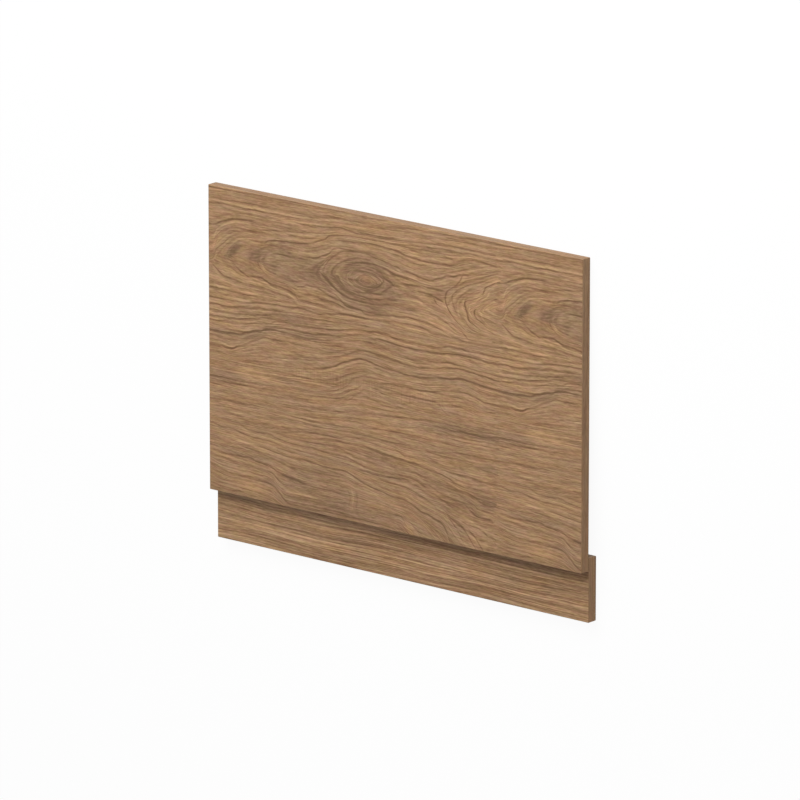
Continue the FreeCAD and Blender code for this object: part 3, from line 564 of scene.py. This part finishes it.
    [(95, 48, 0), (105, 42, 4), (115, 36, 5), (122, 29, 6), (130, 21, 6), (134, 14, 5), (140, 5, 3),
     (146, -4, 0)],
    [(112, 44, 0), (120, 40, 5), (130, 36, 5), (137, 30, 7), (145, 22.5, 8), (152, 14, 9), (158, 7, 8),
     (164, 0, 6), (169, -6, 0)],
    [(145, 30, 0), (152, 26, 7), (160, 20, 9), (166, 14, 9), (171, 8, 8), (177, 1, 6), (182, -5, 0)],
    [(120, 83, 0), (130, 80, 4), (140, 75.5, 6), (150, 72.5, 8), (157, 69, 9), (165, 64.5, 10),
     (172, 62.5, 10), (181, 62, 10), (190, 61.5, 5), (204, 58, 3)],
    [(135, 69, 0), (145, 64, 7), (152, 59, 8), (160, 54.5, 9), (170, 51, 10), (177, 50.5, 10), (190, 51, 10),
     (197, 49.5, 10), (204, 47.5, 9)],
    [(145, 37, 0), (155, 35.5, 9), (165, 34.5, 9), (172, 32, 9), (180, 29, 8), (185, 25.5, 9), (197, 24, 8),
     (204, 20, 5)],
    [(192, 24, 0), (197, 20, 5), (204, 13, 6)],
    [(178, 5, 0), (185, 5, 6), (200, 5, 5), (204, 5, 2)],
    [(118, 88, 0), (128, 86, 6), (145, 85, 6), (157, 82, 7), (165, 78.5, 8), (172, 75, 9), (180, 73, 10),
     (190, 72.5, 10), (204, 73, 10)],
    [(-20, 28, 0), (-12, 27.5, 4), (0, 26.2, 6), (15, 25, 7), (22, 21, 7), (25, 16, 6), (28, 11, 0)],
    [(12, 24, 0), (20, 21, -4), (27, 16, -5), (34, 9, -5), (40, 3, -4), (45, -2, 0)],
    [(-80, 6.5, 0), (-75, 6.5, 6), (-20, 6.5, 6), (-10, 6.5, 3), (5, 5, 5), (20, 5, 4), (28, 4, 0)],
]

# The upright arcs of the bud figure on the right, of a small curl low down and at the ends of two rings,
# read the other way: up, across and how dark.
upright_lines = [
    [(332, 150, 0), (334, 145, 4), (340, 135, 6), (346, 125, 7), (354, 116, 8), (361, 110, 9),
     (370, 104.5, 9), (377, 103, 7), (384, 104, 6), (390, 107, 6), (395, 114, 5), (402, 124, 5),
     (407, 129, 6), (412, 133, 7), (417, 135.5, 5), (420, 138, 0)],
    [(352, 130, 0), (360, 124, 3), (372, 118, 4), (380, 116, 4), (385, 116.5, 6), (390, 122, 7),
     (395, 127.5, 7), (400, 137, 6), (405, 147, 5), (409, 156, 4), (416, 175, 3), (422, 190, 3),
     (427, 204, 0)],
    [(346, 138, 0), (352, 132, -2), (362, 128, -3), (372, 127, -3), (380, 129, -3), (388, 140, -3),
     (400, 162, 0)],
    [(340, 172, 0), (342, 167, 7), (347, 157, 9), (351, 149, 10), (360, 146, 9), (370, 142, 10),
     (377, 140.5, 10), (380, 143, 9), (385, 157, 7), (392, 171, 7), (395, 175, 7), (402, 178, 8),
     (407, 181, 8), (411, 188, 9), (415, 196, 8), (418.5, 201, 9), (420, 208, 0)],
    [(352, 160, 0), (358, 154, -3), (366, 150, -4), (374, 150, -3), (380, 160, -3), (386, 172, -3),
     (394, 184, -4), (402, 188, -3), (408, 194, 0)],
    [(338, 205, 0), (340, 200, 3), (347, 182, 4), (354, 170, 6), (357, 164, 8), (364, 159, 9),
     (369, 159.5, 9), (371.5, 163, 8), (373, 170, 5), (374, 178, 0)],
    [(345, 196, 0), (350, 186, -3), (358, 176, -3), (365, 172, -3), (369, 174, 0)],
    [(404, 132, 0), (407, 137, 6), (411, 142, 6), (414, 150, 5), (418, 165, 4), (421, 180, 0)],
    [(14, -84, 0), (24, -86, 3), (34, -83, 3), (44, -86, 3), (54, -90, 0)],
    [(16, -78, 0), (24, -79, -3), (36, -77, -4), (46, -79, -3), (56, -82, 0)],
    [(16, -70, 0), (26, -71, 3), (36, -69, 3), (46, -71, 2), (54, -73, 0)],
    [(362, 95, 0), (364, 93, 6), (367, 86.5, 7), (372, 82.5, 6), (376, 80, 0)],
    [(360, -245, 0), (364, -252, -2), (371, -258, -3), (378, -260, -3), (384, -258, -2), (388, -253, 0)],
]

# Soft cloudy patches of the print: the middle of each, its half length, half height and slant, and how dark.
patches = [
    (-317, 384, 22, 9, 42, 0.95),
    (-350, 392, 18, 6, 40, -0.30),
    (-268, 384, 26, 14, 0, 0.45),
    (-195, 376, 72, 34, 0, 0.42),
    (-212, 396, 16, 6, 0, 0.50),
    (-232, 362, 14, 6, -20, 0.25),
    (-201, 357, 20, 6, 0, 0.30),
    (-136, 372, 24, 12, -35, 0.45),
    (-62, 378, 95, 50, 0, 0.50),
    (-30, 15, 280, 70, 0, 0.15),
    (-170, 50, 110, 52, 0, 0.15),
    (-48, 383, 24, 7, -6, -0.60),
    (-78, 402, 18, 13, 0, 0.35),
    (-52, 393, 28, 6, -4, 0.40),
    (-45, 409, 46, 10, 0, 0.35),
    (-45, 338, 62, 15, 0, 0.32),
    (0, 384, 12, 7, 0, 0.25),
    (80, 350, 72, 13, -17, -0.25),
    (178, 376, 34, 30, 0, -0.20),
    (-286, 346, 40, 7, -10, -0.30),
    (-150, 283, 60, 18, 6, 0.20),
    (-278, 197, 44, 11, 0, -0.70),
    (-335, 182, 60, 9, 0, 0.45),
    (150, 178, 110, 10, 0, 0.55),
    (-60, 154, 110, 7, 5, -0.12),
    (-110, 128, 90, 30, 0, 0.12),
    (-317, 90, 50, 8, -4, -0.35),
    (-16, 83, 55, 8, 0, 0.30),
    (185, 82, 50, 10, -8, 0.40),
    (-290, 66, 60, 7, 0, 0.35),
    (-194, 45, 26, 6, -8, 0.70),
    (-15, 47, 60, 7, -14, -0.25),
    (-282, 20, 46, 9, 0, -0.60),
    (-190, 23, 45, 7, 0, -0.25),
    (-325, 253, 55, 6, 2, 0.45),
    (-262, 266, 45, 7, 22, 0.45),
    (-195, 272, 60, 7, 0, 0.40),
    (-245, 295, 120, 16, 6, 0.18),
    (-60, 262, 60, 7, 0, 0.25),
    (100, 254, 90, 6, 4, 0.25),
    (-127, 12, 100, 14, 0, 0.30),
    (120, 22, 45, 20, -40, 0.25),
    (34, 10, 16, 8, -45, -0.45),
    (-80, 30, 8, 26, 0, -0.20),
]


def end_to_end(lines, level=4):
    """Lines that follow one another, set end to end where both fade out, so that each set needs one curve. A
    faded end runs on level for a little, so that nothing shows beyond it."""
    sets = []
    for line in sorted(lines):
        start = [(line[0][0] - level, line[0][1], 0)] if line[0][2] == 0 else []
        end = [(line[-1][0] + level, line[-1][1], 0)] if line[-1][2] == 0 else []
        held = start + line + end
        for joined in sets:
            if joined[-1][0] + level < held[0][0] and joined[-1][2] == held[0][2] == 0:
                joined.extend(held)
                break
        else:
            sets.append(held)
    return sets


def off_patch(steps, place, middle, half_size, slant=0.0):
    """How far a place on the print is from the middle of an oval patch: one at its rim."""
    local = steps.add("Mapping", {
        "Vector": place,
        "Location": middle,
        "Rotation": (0, 0, math.radians(slant)),
        "Scale": half_size,
    }, vector_type="TEXTURE")
    return steps.add("VectorMath", {0: local}, output="Value", operation="LENGTH")


def printed_lines():
    """How much darker the print is at a place, from its growth lines and patches."""
    steps, given = new_group("oak lines", ["Across", "Up"])
    half_profile = [(0.8, 0.75), (1.9, 0), (3.8, -0.25), (9.0, 0)]
    profile = [(-off, dark) for off, dark in reversed(half_profile)] + [(0, 1)] + half_profile
    darkest = 10
    patch_core = 0.2
    patch_rim = 1.3
    pale_below = 190.0
    full_above = 245.0
    pale_ink = 0.72
    across = given["Across"]
    up = given["Up"]
    ink = 0.0
    for lines, along, off in ((grain_lines, across, up), (upright_lines, up, across)):
        for line in end_to_end(lines):
            path = steps.curve(along, [(a, b) for a, b, dark in line])
            strength = steps.curve(along, [(a, dark / darkest) for a, b, dark in line])
            across_line = steps.curve(steps.math("SUBTRACT", off, path), profile)
            ink = steps.math("MULTIPLY_ADD", across_line, strength, ink)
    place = steps.point(across, up)
    shade = 0.0
    for x, y, half_length, half_rise, slant, dark in patches:
        off_middle = off_patch(steps, place, (x, y, 0), (half_length, half_rise, 1), slant)
        shade = steps.math("ADD", shade, steps.fade(off_middle, patch_core, patch_rim, dark, 0.0))
    ink = steps.math("MULTIPLY", ink, steps.fade(up, pale_below, full_above, pale_ink, 1.0))
    return finish_group(steps, {"Ink": ink, "Shade": shade})


def oak_grain():
    """The print's streaks along and across the grain: lighter or darker, and redder or yellower."""
    steps, given = new_group("oak grain", ["Along", "Growth", "Fibre"])
    along, growth, fibre = given["Along"], given["Growth"], given["Fibre"]
    ring = steps.math("ABSOLUTE", steps.streaks(along, growth, 130.0, 6.0, 1.0, 4.1))
    tone = steps.total([
        steps.streaks(along, growth, 300.0, 34.0, 0.06, 1.3),
        steps.streaks(along, growth, 260.0, 14.0, 0.06, 2.7),
        steps.fade(ring, 0.0, 0.14, -0.13, 0.035),
        steps.streaks(along, growth, 130.0, 2.0, 0.36, 6.4),
        steps.streaks(along, fibre, 24.0, 1.2, 0.32, 8.2),
        steps.streaks(along, fibre, 9.0, 1.1, 0.34, 9.6),
    ])
    hue = steps.total([
        steps.streaks(along, growth, 70.0, 6.0, 1.4, 11.3),
        steps.streaks(along, fibre, 16.0, 3.0, 3.4, 13.8),
    ])
    warmth = steps.streaks(along, fibre, 60.0, 14.0, 2.0, 15.1, 3.0)
    return finish_group(steps, {"Tone": tone, "Hue": hue, "Warmth": warmth})


def oak_colour():
    """The decor's ink: from dark grey-brown to light tan, a little redder or more olive by streaks."""
    steps, given = new_group("oak colour", ["Tone", "Hue", "Warmth"])
    middle_tone = 0.502
    ramp = steps.add("ValToRGB", {0: steps.math("ADD", given["Tone"], middle_tone)}).node
    shades = [
        (0.0, screen(109, 79, 52)),
        (0.25, screen(132, 99, 69)),
        (0.5, screen(154, 120, 87)),
        (0.75, screen(177, 141, 105)),
        (1.0, screen(199, 161, 122)),
    ]
    while len(ramp.color_ramp.elements) < len(shades):
        ramp.color_ramp.elements.new(0.5)
    for stop, (place, colour) in zip(ramp.color_ramp.elements, shades):
        stop.position = place
        stop.color = colour
    ink = ramp.outputs[0]
    for amount, change in (
        (steps.fade(given["Hue"], 0.0, 1.0, kind="LINEAR"), (1.03, 0.97, 1.03, 1)),
        (steps.fade(given["Hue"], 0.0, -1.0, kind="LINEAR"), (0.97, 1.01, 0.92, 1)),
        (steps.fade(given["Warmth"], 0.0, 1.0, kind="LINEAR"), (1.05, 1.0, 0.91, 1)),
        (steps.fade(given["Warmth"], 0.0, -1.0, kind="LINEAR"), (0.95, 1.0, 1.09, 1)),
    ):
        ink = steps.mix(amount, ink, change, "MULTIPLY")
    return finish_group(steps, {"Colour": ink}, "NodeSocketColor")


figure_group = growth_figure()
line_group = printed_lines()
grain_group = oak_grain()
colour_group = oak_colour()


def board_places(steps):
    """A place on the boards in their own frame, in mm: across, up and out."""
    turned_origin = Matrix.Rotation(board_slope, 3, "X") @ board_origin
    place = steps.add("Mapping", {
        "Vector": steps.add("TexCoord", {}, output="Object"),
        "Location": -turned_origin,
        "Rotation": (board_slope, 0, 0),
        "Scale": (1 / MM, 1 / MM, 1 / MM),
    }, vector_type="POINT")
    return steps.parts(place)


def new_finish(name):
    """A material with no nodes yet, and its node steps."""
    material = bpy.data.materials.new(name)
    material.use_nodes = True
    material.node_tree.nodes.clear()
    return material, Nodes(material.node_tree)


def set_surface(steps, shader, kind="Material"):
    output = steps.tree.nodes.new("ShaderNodeOutput" + kind)
    steps.tree.links.new(shader, output.inputs["Surface"])


def dress(node_name, material):
    """Gives a CAD piece its finish."""
    slots = frame["nodes"][node_name].data.materials
    slots.clear()
    slots.append(material)


def oak_surface(steps, tone, hue, warmth, grain_height):
    """The satin melamine over the print: a soft sheen, broken by a little relief along the grain."""
    colour = place_group(steps, colour_group, {"Tone": tone, "Hue": hue, "Warmth": warmth})["Colour"]
    normal = steps.add("Bump", {"Strength": 0.12, "Distance": 0.0002, "Height": grain_height})
    roughness = steps.math("MULTIPLY_ADD", tone, -0.15, 0.55)
    shader = steps.add("BsdfPrincipled", {
        "Base Color": colour,
        "Roughness": roughness,
        "Specular IOR Level": 0.3,
        "Normal": normal,
    })
    set_surface(steps, shader)


# How far in from a board's outermost planes the print of its edges and faces reaches, in mm
edge_depth = 0.3


def on_side_edges(steps, across_board):
    """One on the two upright edges of a board, and zero elsewhere."""
    return steps.math("GREATER_THAN", steps.math("ABSOLUTE", across_board), half_width - edge_depth)


line_ink = 0.43
shade_ink = 0.34
shade_grey = 2.0
least_grey = -0.25
fibre_share = 0.5
edge_slant = 3.1
edge_tone = 0.7
edge_dark = -0.05
edge_hue = 0.5
# Painted warm light: the upright edges of both boards get a warmer tint that stands in for warmer light
# falling on the sides.
painted_side_light_warmth = 0.4
fleck_middle = (-50.0, 215.0, 0.0)
fleck_size = (230.0, 17.0, 1.0)

face_oak, steps = new_finish("oak decor face")
x, y, z = board_places(steps)
figure = place_group(steps, figure_group, {"Across": x, "Up": y})
face_grain = place_group(steps, grain_group, {
    "Along": figure["Print across"],
    "Growth": figure["Growth"],
    "Fibre": steps.between(fibre_share, figure["Growth"], y),
})
on_side = on_side_edges(steps, x)
across_grain = steps.math("ADD", z, steps.between(on_side, y, steps.math("MULTIPLY", x, edge_slant)))
plain_grain = place_group(steps, grain_group, {
    "Along": steps.between(on_side, x, y),
    "Growth": across_grain,
    "Fibre": across_grain,
})
off_middle = steps.math("ABSOLUTE", steps.math("SUBTRACT", y, half_height))
on_end = steps.math("GREATER_THAN", off_middle, half_height - edge_depth)
behind = steps.math("LESS_THAN", z, panel_front - edge_depth)
off_face = steps.math("MAXIMUM", steps.math("MAXIMUM", on_side, on_end), behind)
lines = place_group(steps, line_group, {"Across": figure["Print across"], "Up": figure["Print up"]})
lined_tone = steps.math("MULTIPLY_ADD", lines["Ink"], -line_ink, face_grain["Tone"])
shaded_tone = steps.math("MULTIPLY_ADD", lines["Shade"], -shade_ink, lined_tone)
print_place = steps.point(figure["Print across"], figure["Print up"])
off_flecks = off_patch(steps, print_place, fleck_middle, fleck_size)
flecks = steps.streaks(figure["Print across"], figure["Growth"], 3.4, 24.0, 0.16, 51.0)
face_tone = steps.math("MULTIPLY_ADD", steps.fade(off_flecks, 0.5, 1.0, 1.0, 0.0), flecks, shaded_tone)
greyed = steps.math("MAXIMUM", lines["Shade"], least_grey)
face_warmth = steps.math("MULTIPLY_ADD", greyed, -shade_grey, face_grain["Warmth"])
plain_tone = steps.math("MULTIPLY_ADD", plain_grain["Tone"], edge_tone, edge_dark)
plain_hue = steps.math("MULTIPLY", plain_grain["Hue"], edge_hue)
# Painted warm light: a warmer tint on the face board's upright edges stands in for warmer light falling on
# the sides.
plain_warmth = steps.math("MULTIPLY_ADD", on_side, painted_side_light_warmth, plain_grain["Warmth"])
tone = steps.between(off_face, face_tone, plain_tone)
hue = steps.between(off_face, face_grain["Hue"], plain_hue)
warmth = steps.between(off_face, face_warmth, plain_warmth)
relief = steps.streaks(x, y, 24.0, 1.2, 1.0, 17.0)
oak_surface(steps, tone, hue, warmth, relief)
dress("face_board", face_oak)

# Plinth board
# The 18 mm board behind the face board's lower edge, in the same oak decor and edging. It is cut from a
# straight-grained stretch of the print and screwed on from behind.

end_slant = 5.3
end_tone = 0.45
end_dark = -0.07

plinth_oak, steps = new_finish("oak decor plinth")
x, y, z = board_places(steps)
wave = steps.total([
    y,
    steps.streaks(x, y, 220.0, 60.0, 6.0, 41.0),
    steps.streaks(x, y, 50.0, 14.0, 0.5, 43.0),
])
on_side = on_side_edges(steps, x)
along = steps.between(on_side, x, y)
growth = steps.math("ADD", z, steps.between(on_side, wave, steps.math("MULTIPLY", x, end_slant)))
plinth_grain = place_group(steps, grain_group, {"Along": along, "Growth": growth, "Fibre": growth})
long_lines = steps.math(
    "ADD",
    steps.streaks(along, growth, 350.0, 2.4, 0.70, 45.0),
    steps.streaks(along, growth, 500.0, 11.0, 0.50, 47.0),
)
printed = steps.math("ADD", plinth_grain["Tone"], long_lines)
edged = steps.math("MULTIPLY_ADD", printed, end_tone, end_dark)
tone = steps.between(on_side, printed, edged)
relief = steps.streaks(x, y, 24.0, 1.2, 1.0, 19.0)
# Painted warm light: a warmer tint on the plinth's ends stands in for warmer light falling on the sides.
warmth = steps.math("MULTIPLY_ADD", on_side, painted_side_light_warmth, plinth_grain["Warmth"])
oak_surface(steps, tone, plinth_grain["Hue"], warmth, relief)
dress("plinth_board", plinth_oak)

# Plinth screws
# Four countersunk cross-head screws of zinc-plated steel, driven from behind through the plinth into the
# face board.

screw_zinc, steps = new_finish("zinc plating")
place = steps.add("TexCoord", {}, output="Object")
cloud = steps.add("TexNoise", {"Vector": place, "Scale": 420.0, "Detail": 3.0})
plating = steps.mix(cloud, screen(196, 194, 186), screen(214, 210, 196))
shader = steps.add("BsdfPrincipled", {
    "Base Color": plating,
    "Metallic": 1.0,
    "Roughness": steps.fade(cloud, 0.2, 0.8, 0.26, 0.42),
})
set_surface(steps, shader)
for name in frame["nodes"]:
    if name.startswith("plinth_screw"):
        dress(name, screw_zinc)

# Floor
# A plain pale studio floor that the panel lies on. It looks white to the camera and keeps a faint shadow.

floor_size = 40.0
floor_shape = bmesh.new()
bmesh.ops.create_grid(floor_shape, x_segments=1, y_segments=1, size=floor_size / 2)
floor_mesh = bpy.data.meshes.new("studio_floor")
floor_shape.to_mesh(floor_mesh)
floor_shape.free()
floor = bpy.data.objects.new("studio_floor", floor_mesh)
bpy.context.scene.collection.objects.link(floor)


def seen_rays(steps):
    """One for rays that show the backdrop, also mirrored in metal, and zero for those that light things."""
    rays = steps.add("LightPath", {}).node.outputs
    seen = steps.math("MAXIMUM", rays["Is Camera Ray"], rays["Is Glossy Ray"])
    return steps.math("MAXIMUM", seen, rays["Is Transmission Ray"])


white = (1.0, 1.0, 1.0, 1)
pale_grey = (0.85, 0.85, 0.85, 1)
shadow_share = 0.06
floor_paint, steps = new_finish("pale floor")
bare = steps.add("BsdfDiffuse", {"Color": pale_grey})
lit = steps.add("BsdfDiffuse", {"Color": white})
glow = steps.add("Emission", {"Color": white, "Strength": 1.0})
pale = steps.add("MixShader", {0: shadow_share, 1: glow, 2: lit})
shown = steps.add("MixShader", {0: seen_rays(steps), 1: bare, 2: pale})
set_surface(steps, shown)
floor_mesh.materials.append(floor_paint)

# Light
# An even white studio, and one large soft lamp above the panel's top edge.

scene = bpy.context.scene
scene.view_settings.view_transform = "Standard"
room_light = 0.42
world = bpy.data.worlds.new("studio")
scene.world = world
world.use_nodes = True
world.node_tree.nodes.clear()
steps = Nodes(world.node_tree)
strength = steps.fade(seen_rays(steps), 0.0, 1.0, room_light, 1.0, "LINEAR")
set_surface(steps, steps.add("Background", {"Color": white, "Strength": strength}), "World")

lamp_angle = math.radians(50)
lamp_distance = 3.0
lamp = bpy.data.lights.new("key lamp", "AREA")
lamp.shape = "DISK"
lamp.size = 2.4
lamp.energy = 80.0
lamp_object = bpy.data.objects.new("key lamp", lamp)
scene.collection.objects.link(lamp_object)
lamp_place = Vector((0.0, math.sin(lamp_angle), math.cos(lamp_angle))) * lamp_distance
lamp_object.location = lamp_place
lamp_object.rotation_euler = lamp_place.to_track_quat("Z", "Y").to_euler()

# Camera
# A long lens that looks at the face from 40 degrees to its right and 15 degrees above its middle.

camera_yaw = math.radians(40)
camera_pitch = math.radians(15)
camera_distance = 13.689
camera_right = -0.0115
camera_rise = 0.03497
lens = 411.0


def from_board(x, y, z):
    """A direction of the boards' own frame, in the frame that the panel lies in."""
    return x * across + y * panel_up + z * face_out


sight = from_board(
    -math.sin(camera_yaw) * math.cos(camera_pitch),
    -math.sin(camera_pitch),
    -math.cos(camera_yaw) * math.cos(camera_pitch),
)
right = from_board(math.cos(camera_yaw), 0.0, -math.sin(camera_yaw))
rise = right.cross(sight)
face_middle = (board_origin + from_board(0.0, half_height, panel_front)) * MM
camera = bpy.data.cameras.new("camera")
camera.lens = lens
camera.sensor_width = 36.0
camera_object = bpy.data.objects.new("camera", camera)
scene.collection.objects.link(camera_object)
camera_object.location = face_middle - camera_distance * sight - camera_right * right - camera_rise * rise
camera_object.rotation_euler = Matrix((right, rise, -sight)).transposed().to_euler()
scene.camera = camera_object
